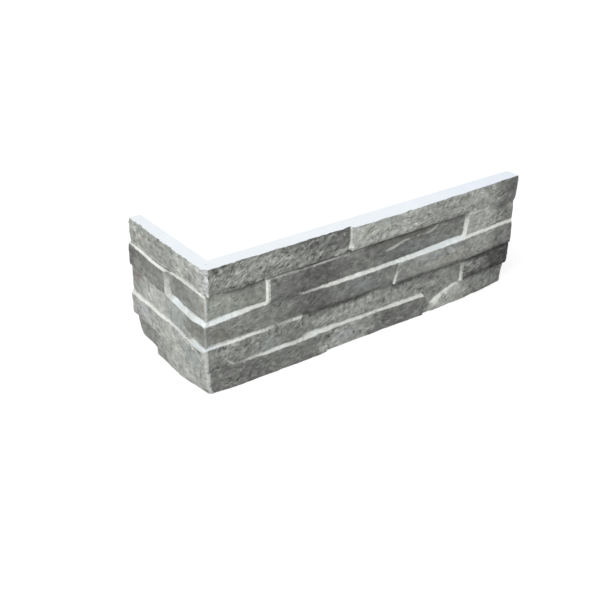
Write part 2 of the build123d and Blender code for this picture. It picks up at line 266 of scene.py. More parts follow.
patches = [
    # Stone A
    Patch("long", 75, 149, 190, 7, grey=-20),
    Patch("long", -4, 146, 34, 11, grey=-26),
    Patch("long", 18, 143, 40, 8, grey=-8),
    Patch("long", 32, 132, 12, 8, grey=20, streaks=0.5, slant=20),
    Patch("long", 47, 137, 16, 11, grey=20, streaks=0.3, slant=20),
    Patch("long", 58, 141, 13, 7, grey=12),
    Patch("long", 70, 138, 12, 6, grey=38, streaks=1.2, slant=-20),
    Patch("long", 84, 133, 22, 9, grey=14, streaks=0.6, slant=-25),
    Patch("long", 71, 128, 13, 9, grey=-22),
    Patch("long", 84, 142, 14, 6, grey=-18),
    Patch("long", 116, 141, 30, 8, grey=-24),
    Patch("long", 110, 132, 16, 6, grey=14, streaks=0.4),
    Patch("long", 130, 126, 24, 7, grey=26, streaks=0.6, slant=12),
    Patch("long", 149, 131, 12, 8, grey=12, streaks=0.3),
    Patch("long", 160, 122, 22, 8, grey=54, streaks=0.8, slant=10),
    Patch("long", 30, 121, 60, 5, grey=-14),
    # Stone B
    Patch("long", 205, 138, 60, 16, tint=GREENISH),
    Patch("long", 196, 125, 9, 6, grey=28),
    Patch("long", 300, 145, 22, 7, grey=-26),
    Patch("long", 318, 134, 40, 12, grey=-8),
    Patch("long", 365, 140, 30, 14, grey=10),
    Patch("long", 425, 140, 18, 18, grey=-12),
    # Stones C, D and E
    Patch("long", 8, 104, 26, 24, tint=GREENISH, grey=4),
    Patch("long", 150, 100, 90, 10, grey=-5),
    Patch("long", 184, 112, 22, 9, grey=24),
    Patch("long", 312, 113, 18, 8, grey=18),
    Patch("long", 262, 113, 110, 6, grey=6, tint=BROWNISH),
    Patch("long", 270, 98, 90, 13, grey=12, tint=BLUISH),
    Patch("long", 418, 105, 34, 20, grey=-12, streaks=1.0),
    Patch("long", 403, 96, 22, 6, grey=36),
    Patch("long", 430, 112, 16, 8, grey=22, tint=BROWNISH),
    # Stones F and G
    Patch("long", 3, 71, 22, 20, grey=-8, tint=BROWNISH),
    Patch("long", 85, 74, 26, 16, grey=8),
    Patch("long", 190, 72, 60, 16, grey=6, tint=BLUISH),
    Patch("long", 300, 78, 80, 10, grey=4, tint=BLUISH),
    Patch("long", 330, 68, 70, 10, tint=BROWNISH),
    # Stones H, I and J
    Patch("long", 58, 38, 36, 17, grey=10, streaks=0.6, tint=BLUISH, slant=20),
    Patch("long", 15, 46, 40, 16, grey=4, tint=GREENISH),
    Patch("long", 110, 46, 11, 26, grey=12, streaks=0.3),
    Patch("long", 122, 50, 8, 10, grey=-12),
    Patch("long", 136, 52, 24, 8, grey=-16),
    Patch("long", 138, 41, 24, 10, grey=16, streaks=0.4),
    Patch("long", 182, 43, 70, 18, grey=8, streaks=0.6, slant=10),
    Patch("long", 255, 55, 36, 8, grey=-22),
    Patch("long", 305, 49, 16, 9, grey=-16),
    Patch("long", 305, 39, 18, 10, grey=22, streaks=0.3),
    Patch("long", 376, 44, 34, 9, grey=20, streaks=0.6, slant=12),
    Patch("long", 365, 34, 26, 8, grey=-14),
    # Stones K1, K2 and L
    Patch("long", 28, 20, 44, 14, grey=-6),
    Patch("long", 44, 12, 20, 20, grey=-16),
    Patch("long", 92, 7, 34, 8, grey=12),
    Patch("long", 128, 12, 40, 10, grey=8),
    Patch("long", 136, 6, 22, 14, grey=24),
    Patch("long", 147, 25, 18, 8, grey=-30, slant=30),
    Patch("long", 151, 9, 22, 14, grey=12),
    Patch("long", 172, 16, 44, 16, tint=LAVENDER, grey=4),
    Patch("long", 193, 25, 24, 7, grey=-20),
    Patch("long", 205, 15, 42, 12, grey=8, streaks=0.5),
    Patch("long", 232, 17, 22, 14, grey=-14),
    Patch("long", 311, 12, 18, 8, grey=34, slant=50),
    Patch("long", 334, 21, 24, 11, grey=16, streaks=0.4, slant=20),
    Patch("long", 356, 14, 26, 16, grey=12, streaks=0.3, slant=-30),
    Patch("long", 418, 20, 30, 14, grey=-10),
    # Stone M
    Patch("short", 13, 129, 11, 17, grey=-28),
    Patch("short", 18, 141, 16, 12, grey=12),
    Patch("short", 29, 129, 18, 14, grey=8, tint=GREENISH),
    Patch("short", 110, 135, 20, 9, grey=8, tint=PINKISH),
    Patch("short", 130, 144, 18, 10, grey=16),
    # Stones O and N
    Patch("short", -10, 105, 14, 24, tint=BROWNISH),
    Patch("short", 120, 112, 50, 12, grey=-14),
    Patch("short", 84, 98, 44, 12, grey=8),
    # Stone P
    Patch("short", 90, 72, 36, 22, grey=6),
    Patch("short", 40, 72, 44, 26, tint=BLUISH),
    Patch("short", -4, 73, 22, 16, tint=BROWNISH),
    Patch("short", -8, 66, 14, 8, grey=20),
    Patch("short", 6, 62, 30, 9, grey=34),
    Patch("short", 126, 83, 32, 12, grey=-16, tint=PINKISH),
    # Stones Q and R
    Patch("short", 112, 46, 50, 18, grey=6, tint=LAVENDER),
    Patch("short", 92, 36, 34, 8, grey=12, slant=-12),
    Patch("short", 50, 34, 44, 16, grey=8, tint=GREENISH),
    Patch("short", 8, 40, 30, 22, grey=-8, tint=BLUISH),
    Patch("short", 30, 14, 60, 14, grey=6),
    Patch("short", 76, 5, 24, 12, grey=-8),
    Patch("short", 20, 12, 22, 9, grey=14),
    Patch("short", 120, 24, 40, 10, grey=-8),
]


@dataclass
class Crack:
    """A riven step across a stone: the face above it is set back, and its edge is pale."""
    leg: str
    course: int
    line: tuple              # (along, level) pairs
    back: float              # how far the face above the step is set back
    fade: float = 7.0        # height over which that face comes forward again
    pale: tuple = ((0, 0.4),)    # (along, bareness) pairs of the edge


CRACK_WIDTH = 2.6        # distance over which that edge's paleness fades


cracks = [
    Crack("long", 1, ((222, 102), (229, 103.3), (238, 104.6), (247, 107.3), (256, 109.4),
                      (288, 108.8), (295, 109.4), (301, 111.2), (308, 114), (313, 116)),
          back=0.9, pale=((229, 0.55), (240, 0.9), (256, 0.8), (264, 0.4), (286, 0.4), (296, 0.8))),
    Crack("long", 3, ((0, 53), (5, 43.5), (8, 39), (11, 35.5), (16, 31.5), (24, 28.5)), back=0.5,
          pale=((0, 0.65),)),
    Crack("long", 0, ((58, 128), (66, 134), (78, 137), (92, 131)), back=0.7),
    Crack("long", 3, ((352, 46), (365, 50), (380, 49), (394, 53)), back=0.6),
]


def smooth_step(low, high, value):
    share = min(1.0, max(0.0, (value - low) / (high - low)))
    return share * share * (3.0 - 2.0 * share)


def blend(first, second, share):
    return first + (second - first) * share


def read_along(pairs, place):
    """Value at a place along a list of (place, value) pairs, level beyond its two ends."""
    for (first, low), (second, high) in zip(pairs, pairs[1:]):
        if place < second:
            return blend(low, high, max(0.0, (place - first) / (second - first)))
    return pairs[-1][1]


def joint_level(number, reach):
    """Height of the joint on top of a course where the unrolled front is reach from the corner."""
    level = HEIGHT - number * COURSE_HEIGHT
    return level + read_along(joints[number], reach) if number in joints else level


@dataclass
class Spot:
    """A place on the front, in millimetres."""
    stone: Stone
    along: float      # along the leg from the wall's corner
    level: float
    run: float        # along the leg from the arris

    @property
    def reach(self):
        along = max(0.0, self.along)
        return along if self.stone.leg == "long" else -along

    @property
    def joint(self):
        """Level of the foot of the stones above."""
        return joint_level(self.stone.course, self.reach)

    @property
    def rim(self):
        """Level of the stone's own top edge."""
        if self.stone.course == 0:
            return HEIGHT
        mean = HEIGHT - self.stone.course * COURSE_HEIGHT
        return min(mean - read_along(self.stone.rim, self.along), self.joint - SMALLEST_LIP)

    @property
    def drop(self):
        """Share of the way from the stone's top edge down to its foot."""
        foot = joint_level(self.stone.course + 1, self.reach)
        return (self.rim - self.level) / (self.rim - foot)


def arris_at(course, level):
    """How far the arris stands out past the short leg's back and past the long one's."""
    out_x, out_y = arrises[course]
    worn = max(0.0, 1.0 - level / TOE_HEIGHT) ** 2
    return out_x - SHORT_TOE_BACK * worn, out_y - LONG_TOE_BACK * worn


def spot_on(place, stone):
    """The spot of a point in metres that lies on a stone."""
    x, y, z = place / MM
    out_x, out_y = arris_at(stone.course, z)
    if stone.leg == "long":
        return Spot(stone, x, z, x + out_x)
    return Spot(stone, y, z, y + out_y)


# Which stone and which part of it each CAD facet is
FACE, LEDGE, SIDE = 0, 1, 2


def course_rows(place, is_long):
    """The course of a CAD corner point, and whether it is at that course's foot."""
    x, y, z = place / MM
    reach = max(0.0, x) if is_long else -max(0.0, y)
    for number in range(COURSES):
        foot = joint_level(number + 1, reach)
        if z > foot - FACET_TOLERANCE:
            return number, z < foot + FACET_TOLERANCE
    return COURSES - 1, True


def facet_region(face):
    """The stone that a CAD facet of the front belongs to, and its part: face, ledge or side."""
    middle = face.calc_center_median()
    x, y, z = middle / MM
    course = min(COURSES - 1, int((HEIGHT - z) / COURSE_HEIGHT))
    out_x, out_y = arris_at(course, z)
    # The legs part on the line from the wall's corner to the arris
    is_long = x * out_y > y * out_x
    rows = [course_rows(vert.co, is_long) for vert in face.verts]
    course = max(number for number, at_foot in rows)
    is_ledge = any(number < course for number, at_foot in rows)
    leg = "long" if is_long else "short"
    row = [stone for stone in stones if (stone.leg, stone.course) == (leg, course)]
    owner = row[0]
    part = FACE
    for stone in row[1:]:
        spot = spot_on(middle, stone)
        start = stone.start + stone.lean * (0.5 - min(1.0, max(0.0, spot.drop)))
        if spot.along > start:
            owner = stone
            part = SIDE if spot.along < start + stone.side else FACE
    return stones.index(owner), LEDGE if is_ledge else part


# The fine mesh
FINEST_EDGE = 1.7 * MM
MOST_CUTS = 5
EASING_PASSES = 10
EASING = 0.5                # how far each pass moves a point towards the middle of those around
CREASE = math.radians(26.0)
MERGE_DISTANCE = 0.001 * MM
FLAT_TOLERANCE = 0.002 * MM
SPLIT, BARE = 0, 1          # material slots: the split front, and the flat bare sides


def flat_side(face, planes):
    """The number of the flat side that a face lies in, or None for the split front."""
    for number, (axis, value) in enumerate(planes):
        if all(abs(vert.co[axis] - value) < FLAT_TOLERANCE for vert in face.verts):
            return number
    return None


def drop_folds(piece):
    """Removes the tiny folds of a mesh, where two faces lie back to back on the same points."""
    alike = {}
    for face in piece.faces:
        alike.setdefault(frozenset(face.verts), []).append(face)
    folds = [face for faces in alike.values() if len(faces) % 2 == 0 for face in faces]
    bmesh.ops.delete(piece, geom=folds, context="FACES")


def copy_of_cad_piece():
    """The CAD piece, merged, with each flat side as one face and the front in small triangles."""
    piece = bmesh.new()
    piece.from_mesh(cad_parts["corner_piece"].data)
    bmesh.ops.remove_doubles(piece, verts=piece.verts, dist=MERGE_DISTANCE)
    stone_layer = piece.faces.layers.int.new("stone")
    part_layer = piece.faces.layers.int.new("part")
    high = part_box("corner_piece")[1]
    planes = ((2, high.z), (2, 0.0), (0, high.x), (1, high.y), (0, 0.0), (1, 0.0))
    sides = [[] for plane in planes]
    for face in piece.faces:
        number = flat_side(face, planes)
        if number is None:
            face.material_index = SPLIT
            face[stone_layer], face[part_layer] = facet_region(face)
        else:
            face.material_index = BARE
            sides[number].append(face)
    for side in sides:
        bmesh.ops.dissolve_faces(piece, faces=side)
    for cut in range(MOST_CUTS):
        long_edges = [edge for edge in piece.edges if edge.calc_length() > FINEST_EDGE
                      and any(face.material_index == SPLIT for face in edge.link_faces)]
        if not long_edges:
            break
        bmesh.ops.subdivide_edges(piece, edges=long_edges, cuts=1)
        uneven = [face for face in piece.faces
                  if face.material_index == SPLIT and len(face.verts) > 3]
        bmesh.ops.triangulate(piece, faces=uneven)
    drop_folds(piece)
    return piece


def ease_facets(piece):
    """Softens the CAD facets inside each stone, and keeps its rims where they are."""
    piece.normal_update()
    rims = set()
    for edge in piece.edges:
        if len(edge.link_faces) != 2 or edge.calc_face_angle() > CREASE:
            rims.update(edge.verts)
    inner = [vert for vert in piece.verts if vert not in rims]
    for turn in range(EASING_PASSES):
        bmesh.ops.smooth_vert(piece, verts=inner, factor=EASING,
                              use_axis_x=True, use_axis_y=True, use_axis_z=True)


# Relief of the split faces
LAYER_STEPS = 2.6           # how many split layers the relief climbs from its mean to its top
LIP = (0.45, 0.95)          # shares of a layer's height between which its lip rises
LAYER_HEIGHT = 0.6          # shares of a stone's roughness that its layers and its crumbs have
CRUMB_HEIGHT = 0.5
CRUMB_SIZE = (4.5, 3.6)     # length and height of the crumbs
ARRIS_EASE = 6.0            # distance from the arris at which the relief has its full height
ARRIS_RELIEF = 0.25         # share of it that is left at the arris
LEDGE_RELIEF = 0.5          # share of it that is left on the ledges and the sides
CHIP_LENGTH = 7.0           # length of the chips along the top rim, and how far down they reach
CHIP_BAND = 4.0
CRACK_ENDS = 8.0            # length over which a crack starts and ends
EVEN_BAND = 6.0             # distance from the top and the foot where edges come to run straight

# Waves that the stones' edges follow elsewhere: height, length along the leg, length in level
# and salt
WANDERS = ((0.45, 13.0, 14.0, 3.1), (0.3, 4.5, 8.0, 8.4))


def plates(along, level, stone, salt):
    """Split layers drawn out along a slanted grain: from about -1 to 1, with sharp little lips."""
    slant = math.radians(stone.tilt)
    length, height = stone.plate
    run = (along * math.cos(slant) + level * math.sin(slant)) / length
    rise = (level * math.cos(slant) - along * math.sin(slant)) / height
    wave = LAYER_STEPS * noise.fractal(Vector((run, rise, salt)), 0.9, 2.1, 4)
    step = math.floor(wave)
    return (step + smooth_step(*LIP, wave - step)) / 2.0


def split_relief(spot):
    """Height of the split relief at a spot, from about -1 to 1."""
    salt = 7.3 * stones.index(spot.stone)
    layers = plates(spot.along, spot.level, spot.stone, salt)
    length, height = CRUMB_SIZE
    crumbs = noise.fractal(Vector((spot.along / length, spot.level / height, salt)), 0.7, 2.2, 3)
    return LAYER_HEIGHT * layers + CRUMB_HEIGHT * crumbs


def crack_near(spot):
    """The crack that crosses the stone at a spot and the height over its line, if there is one."""
    for crack in cracks:
        first, last = crack.line[0][0], crack.line[-1][0]
        if (crack.leg, crack.course) == (spot.stone.leg, spot.stone.course):
            if first < spot.along < last:
                return crack, spot.level - read_along(crack.line, spot.along)
    return None, 0.0


def crack_taper(crack, along):
    """How strong a crack is: nothing at its two ends, and full away from them."""
    first, last = crack.line[0][0], crack.line[-1][0]
    return smooth_step(first, first + CRACK_ENDS, along) * smooth_step(last, last - CRACK_ENDS, along)


def crack_paleness(spot):
    """How pale the edge of a crack is at a spot; 0 away from every crack."""
    crack, above = crack_near(spot)
    if not crack:
        return 0.0
    width = 1.0 - min(1.0, abs(above) / CRACK_WIDTH)
    return width * read_along(crack.pale, spot.along) * crack_taper(crack, spot.along)


def mark_grain(piece):
    """Gives each stone's faces coordinates that run along and across its own split layers."""
    stone_layer = piece.faces.layers.int["stone"]
    grain_layer = piece.loops.layers.uv.new("grain")
    for face in piece.faces:
        if face.material_index != SPLIT:
            continue
        stone = stones[face[stone_layer]]
        slant = math.radians(stone.tilt)
        for loop in face.loops:
            spot = spot_on(loop.vert.co, stone)
            run = spot.along * math.cos(slant) + spot.level * math.sin(slant)
            rise = spot.level * math.cos(slant) - spot.along * math.sin(slant)
            loop[grain_layer].uv = (run * MM, rise * MM)


def outward_shift(spot):
    """How far the face moves out from the CAD piece's own, in millimetres."""
    share = blend(ARRIS_RELIEF, 1.0, smooth_step(0.0, ARRIS_EASE, spot.run))
    shift = spot.stone.rough * split_relief(spot) * share
    if spot.stone.course == 0:
        chips = noise.fractal(Vector((spot.along / CHIP_LENGTH, 2.0, 5.5)), 0.6, 2.2, 3)
        near_rim = smooth_step(HEIGHT - CHIP_BAND, HEIGHT, spot.level)
        shift -= spot.stone.chips * abs(chips) * near_rim
    crack, above = crack_near(spot)
    if crack and above > 0.0:
        shift -= crack.back * crack_taper(crack, spot.along) * max(0.0, 1.0 - above / crack.fade)
    return shift


def upward_shift(spot):
    """How far the edges of the stones wander up or down at a spot, in millimetres."""
    wander = sum(height * noise.noise(Vector((spot.reach / along, spot.level / level, salt)))
                 for height, along, level, salt in WANDERS)
    above_foot = smooth_step(0.0, EVEN_BAND, spot.level)
    return wander * above_foot * smooth_step(0.0, EVEN_BAND, HEIGHT - spot.level)


# Print
LONG_LIGHT = 0.80       # light that falls on each leg, so that a grey shows as it is written
SHORT_LIGHT = 1.08
PRINT_TINT = (0.972, 1.0, 0.935)
PLAIN_WHITE = (0.985, 1.0, 0.95)    # tints of the bare body where it shows on the front
COOL_WHITE = (0.935, 1.0, 1.01)
LONG_LEDGE_LIGHT = 0.86             # light that falls on the bare ledges of each leg
SHORT_LEDGE_LIGHT = 1.08
SHADOW_GREY = 46.0      # how much darker the print is where an overhang shades it
CHAMFER_GREY = 197.0    # worn chamfer beside the arris of the top course
LONG_CHAMFER = 1.2      # its width on the long leg, and on the short one at its foot and its top
SHORT_CHAMFER = (3.5, 9.0)
CHAMFER_LEVELS = (122.0, 148.0)
MOTTLE_GREY = 8.0       # how much the print's mottling lightens and darkens an even stone
STRONG_MOTTLE_GREY = 12.0   # and how much more on one with a strong grain
MOTTLE_SIZE = (8.0, 6.0)    # length and height of the mottling
PATCH_EDGE = (0.55, 1.25)   # shares of a patch's reach between which it fades
PATCH_WAVES = (6.0, 5.0)    # length and height of the waves in its edge


def grey_light(grey):
    """The light that a screen's grey of 0 to 255 stands for."""
    return ((max(0.0, grey) / 255.0 + 0.055) / 1.055) ** 2.4


def patch_share(patch, spot):
    """How much a patch covers a spot, from 0 to 1, with uneven edges."""
    along = spot.along - patch.along
    level = spot.level - patch.level
    if abs(along) > patch.length or abs(level) > patch.height + 0.3 * patch.length:
        return 0.0
    slant = math.radians(patch.slant)
    run = (along * math.cos(slant) + level * math.sin(slant)) * 2.0 / patch.length
    rise = (level * math.cos(slant) - along * math.sin(slant)) * 2.0 / patch.height
    length, height = PATCH_WAVES
    place = Vector((spot.along / length, spot.level / height, patch.along))
    uneven = noise.fractal(place, 0.8, 2.0, 3)
    return 1.0 - smooth_step(*PATCH_EDGE, math.hypot(run, rise) + 0.5 * uneven)


def chamfer_share(spot):
    """How much the top course's worn chamfer covers a spot, from 0 to 1."""
    if spot.stone.course > 0:
        return 0.0
    width = LONG_CHAMFER
    if spot.stone.leg == "short":
        width = blend(*SHORT_CHAMFER, smooth_step(*CHAMFER_LEVELS, spot.level))
    return 1.0 - smooth_step(width - 1.0, width + 1.0, spot.run)


def paint(spot, shade):
    """The print's colour and its amount of streaks at a spot, shade being 1 under an overhang."""
    stone = spot.stone
    grey = read_along(stone.tones, spot.along) - SHADOW_GREY * shade
    streaks = stone.streaks
    tint = Vector(stone.tint)
    for patch in patches:
        if patch.leg == stone.leg:
            share = patch_share(patch, spot)
            if share > 0.0:
                grey += patch.grey * share
                streaks += patch.streaks * share
                tint = tint * (1.0 - share) + Vector(patch.tint) * share
    length, height = MOTTLE_SIZE
    salt = 3.7 * stones.index(stone)
    mottle = noise.fractal(Vector((spot.along / length, spot.level / height, salt)), 0.8, 2.1, 4)
    grey += (MOTTLE_GREY + STRONG_MOTTLE_GREY * stone.contrast) * mottle
    worn = chamfer_share(spot)
    tint = tint * (1.0 - worn) + Vector(LAVENDER) * worn
    light = LONG_LIGHT if stone.leg == "long" else SHORT_LIGHT
    strength = grey_light(blend(grey, CHAMFER_GREY, worn)) / light
    return [strength * first * second for first, second in zip(PRINT_TINT, tint)], streaks


# Where the print leaves the body bare: the ledges, the sides and the worn arris
FIELD_REACH = 6.0       # distance over which the bare field is worked out
OVERLAP = 0.2           # how far a bare ledge reaches past its own edges
LEDGE_DEPTH = 4.0       # how far a ledge usually runs out from the stones above it
SIDE_DEPTH = 5.0        # how far a side usually stands out from the stone beside it
SHADOW_REACH = 6.0      # distance over which the shadow under an overhang fades
ARRIS_BARENESS = (0.0, 0.7, 0.45, 0.65, 0.75)    # of each course, from the top down
ARRIS_WIDTH = 1.0       # half the width of the worn line along the arris, and its colour
ARRIS_GREY = 214.0
ARRIS_COOL = 0.3


def bare_white(leg, grey, cool):
    """Colour of bare body that shows as the given grey on a leg, bluish by the share cool."""
    light = LONG_LEDGE_LIGHT if leg == "long" else SHORT_LEDGE_LIGHT
    return Vector(PLAIN_WHITE).lerp(Vector(COOL_WHITE), cool) * (grey_light(grey) / light)


def white_beside(spot):
    """Colour of a stone's bare body at a spot."""
    stone = spot.stone
    grey = read_along(stone.white, spot.along)
    return bare_white(stone.leg, grey, read_along(stone.cool, spot.along))


def bare_value(spot, part):
    """How bare a ledge or a side is at a spot; below 0 it lies in shadow."""
    stone = spot.stone
    if part == LEDGE:
        return read_along(stone.ledge, spot.along)
    return blend(*stone.side_bare, min(1.0, max(0.0, spot.drop)))


def printed_edge(spot, part):
    """Distance inside the bare part of a ledge or a side whose outer part is printed."""
    stone = spot.stone
    if part == LEDGE:
        height = spot.joint - spot.rim
        share = (spot.joint - spot.level) / height
        return (share - stone.ledge_from) * math.hypot(height, LEDGE_DEPTH)
    if part == SIDE and stone.side_share < 1.0:
        start = stone.start + stone.lean * (0.5 - min(1.0, max(0.0, spot.drop)))
        return (stone.side_share - (spot.along - start) / stone.side) * SIDE_DEPTH
    return FIELD_REACH


def spread(seeds):
    """Distance along the mesh from the nearest seed, and its value, for the points around."""
    found = {}
    queue = [(0.0, vert.index, vert, value) for vert, value in seeds.items()]
    heapq.heapify(queue)
    while queue:
        distance, index, vert, value = heapq.heappop(queue)
        if vert in found:
            continue
        found[vert] = (distance, value)
        for edge in vert.link_edges:
            other = edge.other_vert(vert)
            further = distance + edge.calc_length() / MM
            if other not in found and further < FIELD_REACH:
                heapq.heappush(queue, (further, other.index, other, value))
    return found


@dataclass
class Trace:
    """What is recorded on one point of the front."""
    spot: Spot
    part: int
    inside: float = -FIELD_REACH     # distance inside the bare field; below 0 outside it
    # below 0, bareness says how deep the painted shadow under an overhang is
    bareness: float = 0.0
    white: Vector = Vector(PLAIN_WHITE)


def trace_front(piece):
    """Works out the stone, the part and the bare field of every point of the front."""
    stone_layer = piece.faces.layers.int["stone"]
    part_layer = piece.faces.layers.int["part"]
    piece.verts.index_update()
    traces = {}
    seeds = {}
    for vert in piece.verts:
        fronts = [face for face in vert.link_faces if face.material_index == SPLIT]
        if not fronts:
            continue
        fronts.sort(key=lambda face: (face[part_layer], face[stone_layer]))
        stone = stones[fronts[0][stone_layer]]
        spot = spot_on(vert.co, stone)
        trace = Trace(spot, fronts[0][part_layer])
        traces[vert] = trace
        last = fronts[-1]
        if last[part_layer] != FACE:
            owner = spot_on(vert.co, stones[last[stone_layer]])
            trace.bareness = bare_value(owner, last[part_layer])
            trace.white = white_beside(owner)
            if fronts[0][part_layer] == FACE:
                seeds[vert] = (trace.bareness, trace.white)
            trace.inside = min(FIELD_REACH, printed_edge(owner, last[part_layer]))
    for vert, (distance, (bareness, white)) in spread(seeds).items():
        trace = traces.get(vert)
        if trace is None:
            continue
        if trace.part == FACE:
            trace.inside = OVERLAP - distance
            trace.bareness = bareness
            trace.white = white
        else:
            trace.inside = min(trace.inside, OVERLAP + distance)
    return traces


def wear_arris(trace):
    """Adds the worn line along the arris to a point's bare field."""
    spot = trace.spot
    course = spot.stone.course
    if trace.part != FACE or ARRIS_BARENESS[course] == 0.0:
        return
    inside = ARRIS_WIDTH - abs(spot.run - ARRIS_WIDTH)
    if inside > trace.inside:
        trace.inside = inside
        trace.bareness = ARRIS_BARENESS[course]
        trace.white = bare_white(spot.stone.leg, ARRIS_GREY, ARRIS_COOL)


FRONT_COLOURS = ("stone_paint", "bare_paint")
FRONT_VALUES = ("bare_field", "bareness", "streaks", "contrast", "relief_shading", "crack_field")


def finish_front(piece):
    """Records the paint and the bare field on the front's points, then splits its relief."""
    record = {name: piece.verts.layers.float_color.new(name) for name in FRONT_COLOURS}
    record.update({name: piece.verts.layers.float.new(name) for name in FRONT_VALUES})
    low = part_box("corner_piece")[0]
    for vert, trace in trace_front(piece).items():
        spot = trace.spot
        wear_arris(trace)
        # Painted shadow under an overhang, fading over SHADOW_REACH away from it
        shade = max(0.0, -trace.bareness) * smooth_step(-SHADOW_REACH, 0.5, trace.inside)
        # The printed top share of a ledge also gets painted shade from the joint above it
        if trace.part == LEDGE:
            printed = smooth_step(0.5, -0.5, trace.inside)
            shade = max(shade, read_along(spot.stone.ledge_shade, spot.along) * printed)
        colour, streaks = paint(spot, shade)
        vert[record["stone_paint"]] = (*colour, 1.0)
        vert[record["bare_paint"]] = (*trace.white, 1.0)
        vert[record["bare_field"]] = trace.inside
        vert[record["bareness"]] = max(0.0, trace.bareness)
        vert[record["streaks"]] = streaks
        vert[record["contrast"]] = spot.stone.contrast
        # Height of the split relief, which the material turns into painted light on raised parts and
        # painted shade in hollows
        vert[record["relief_shading"]] = split_relief(spot) * smooth_step(0.0, ARRIS_EASE, spot.run)
        vert[record["crack_field"]] = crack_paleness(spot)
        shift = outward_shift(spot) * (1.0 if trace.part == FACE else LEDGE_RELIEF) * MM
        if spot.stone.leg == "long":
            vert.co.y = max(low.y, vert.co.y - shift)
        else:
            vert.co.x = max(low.x, vert.co.x - shift)
        vert.co.z += upward_shift(spot) * MM


def split_corner_piece():
    piece = copy_of_cad_piece()
    ease_facets(piece)
    mark_grain(piece)
    finish_front(piece)
    for face in piece.faces:
        face.smooth = face.material_index == SPLIT
    for edge in piece.edges:
        edge.smooth = len({face.material_index for face in edge.link_faces}) == 1
    piece.normal_update()
    mesh = bpy.data.meshes.new("split_stone_corner")
    piece.to_mesh(mesh)
    piece.free()
    corner = bpy.data.objects.new("split_stone_corner", mesh)
    bpy.context.scene.collection.objects.link(corner)
    return corner


# Materials
class Flow:
    """A socket of a material's node, on which sums add their Math nodes."""

    def __init__(self, recipe, socket):
        self.recipe = recipe
        self.socket = socket

    def maths(self, operation, first, second=0.0):
        settings = {"operation": operation}
        return self.recipe.node("ShaderNodeMath", settings, {0: first, 1: second})

    def __add__(self, other):
        return self.maths("ADD", self, other)

    def __radd__(self, other):
        return self.maths("ADD", other, self)

    def __sub__(self, other):
        return self.maths("SUBTRACT", self, other)

    def __rsub__(self, other):
        return self.maths("SUBTRACT", other, self)

    def __mul__(self, other):
        return self.maths("MULTIPLY", self, other)

    def __rmul__(self, other):
        return self.maths("MULTIPLY", other, self)

    def __abs__(self):
        return self.maths("ABSOLUTE", self)


class Recipe:
    """The nodes of a material or of the world, built one by one."""

    def __init__(self, owner):
        owner.use_nodes = True
        self.owner = owner
        self.tree = owner.node_tree
        self.tree.nodes.clear()

    def node(self, kind, settings=None, sockets=None, output=0):
        node = self.tree.nodes.new(kind)
        for name, value in (settings or {}).items():
            setattr(node, name, value)
        for name, value in (sockets or {}).items():
            if isinstance(value, Flow):
                self.tree.links.new(value.socket, node.inputs[name])
            else:
                node.inputs[name].default_value = value
        return Flow(self, node.outputs[output]) if node.outputs else None

    def place(self):
        return self.node("ShaderNodeTexCoord", output="Object")

    def attribute(self, name, output="Fac"):
        return self.node("ShaderNodeAttribute", {"attribute_name": name}, output=output)

    def noise(self, place, size, detail=3.0, roughness=0.55, output="Fac"):
        """Uneven values about 0.5, with features of the given size in metres."""
        return self.node("ShaderNodeTexNoise", {}, {
            "Vector": place, "Scale": 1.0 / size, "Detail": detail, "Roughness": roughness},
            output=output)

    def drawn_out(self, place, slant, stretch):
        """A place turned and drawn out, so that a pattern on it runs long at a slant in degrees."""
        return self.node("ShaderNodeMapping", {"vector_type": "TEXTURE"}, {
            "Vector": place, "Rotation": (0.0, 0.0, math.radians(slant)),
            "Scale": (stretch, 1.0, 1.0)})

    def range(self, value, low, high, first=0.0, second=1.0):
        """The value taken from low to high into first to second, eased at both ends."""
        return self.node("ShaderNodeMapRange", {"interpolation_type": "SMOOTHSTEP"}, {
            "Value": value, 1: low, 2: high, 3: first, 4: second})

    def mix(self, share, first, second):
        settings = {"data_type": "RGBA"}
        return self.node("ShaderNodeMix", settings, {0: share, 6: first, 7: second}, output=2)

    def scale(self, colour, factor):
        settings = {"operation": "SCALE"}
        return self.node("ShaderNodeVectorMath", settings, {0: colour, "Scale": factor})

    def bump(self, height, distance, strength):
        return self.node("ShaderNodeBump", {}, {
            "Height": height, "Distance": distance, "Strength": strength}, output="Normal")

    def finish(self, sockets):
        shader = self.node("ShaderNodeBsdfPrincipled", {}, sockets)
        self.node("ShaderNodeOutputMaterial", {}, {"Surface": shader})
        return self.owner


GRAIN_SIZE = 0.9 * MM       # finest grain of the print
CLOUD_SIZE = 7.0 * MM       # its soft clouds
AREA_SIZE = 15.0 * MM       # areas where the grain is stronger or weaker
STROKE_SIZE = 1.9 * MM      # drawn-out strokes along the split layers
LINE_SIZE = 3.4 * MM        # pale lines between them
SPLIT_SIZE = 4.6 * MM       # dark splits across them
BEND_SIZE = 1.0 / 60.0      # bends of all three, in metres, and how far they reach
BEND = (14.0 * MM, 14.0 * MM, 0.0)
RIM_CHIP_SIZE = 2.4 * MM    # chips along the edges of the bare ledges
CRYSTAL_WHITE = (0.60, 0.62, 0.58, 1.0)
GRAIN_DEPTH = 0.9 * MM


